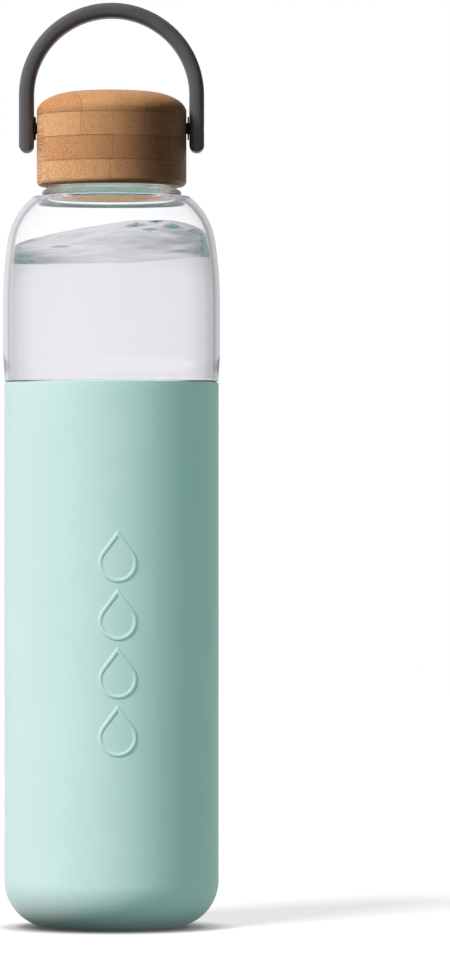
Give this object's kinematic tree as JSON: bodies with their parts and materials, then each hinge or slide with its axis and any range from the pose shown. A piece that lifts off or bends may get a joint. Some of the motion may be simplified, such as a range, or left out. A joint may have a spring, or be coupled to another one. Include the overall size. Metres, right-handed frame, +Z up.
{
  "type": "water bottle",
  "caption": "Screw-necked glass water bottle in a silicone sleeve, with a laminated bamboo screw cap and a swinging carry handle",
  "frame": {"origin": "centre of the base, on the surface that the bottle stands on", "axes": "+Z up along the bottle's axis, X along the handle's pivot axis, -Y towards the raised motif"},
  "size_m": [0.0758, 0.0758, 0.3233],
  "materials": {
    "mint_silicone": "matte moulded silicone",
    "clear_glass": "clear, fire-polished",
    "bamboo": "laminated, sanded and oiled",
    "white_plastic": "moulded, satin",
    "clear_silicone": "translucent moulded silicone",
    "grey_soft_plastic": "fine matte moulded",
    "black_steel": "black oxide",
    "black_nylon": "matte black",
    "brass": "knurled brass"
  },
  "bodies": {
    "sleeve": {"silicone_sleeve": "mint_silicone"},
    "bottle": {"glass_bottle": "clear_glass"},
    "seal": {"sealing_gasket": "clear_silicone"},
    "cap": {"bamboo_ply_1": "bamboo", "bamboo_ply_2": "bamboo", "bamboo_ply_3": "bamboo", "bamboo_ply_4": "bamboo", "threaded_insert": "white_plastic", "pivot_screw_left": "black_steel", "pivot_screw_right": "black_steel", "pivot_washer_left": "black_nylon", "pivot_washer_right": "black_nylon", "brass_insert_left": "brass", "brass_insert_right": "brass"},
    "handle": {"carry_handle": "grey_soft_plastic"}
  },
  "joints": [
    {"name": "bottle_lift", "type": "slide", "parent": "sleeve", "child": "bottle", "axis": [0, 0, 1], "range_m": [0, 0.195]},
    {"name": "cap_rise", "type": "slide", "parent": "bottle", "child": "seal", "axis": [0, 0, 1], "range_m": [0, 0.00901]},
    {"name": "cap_turn", "type": "hinge", "parent": "seal", "child": "cap", "pos_m": [0, 0, 0.26], "axis": [0, 0, 1], "range_deg": [0, 810]},
    {"name": "handle_swing", "type": "hinge", "parent": "cap", "child": "handle", "pos_m": [0, 0, 0.2794], "axis": [1, 0, 0], "range_deg": [-123, 123]}
  ],
  "couplings": [
    {"joint": "cap_rise", "follows": "cap_turn", "m_per_rad": 0.00063662}
  ]
}
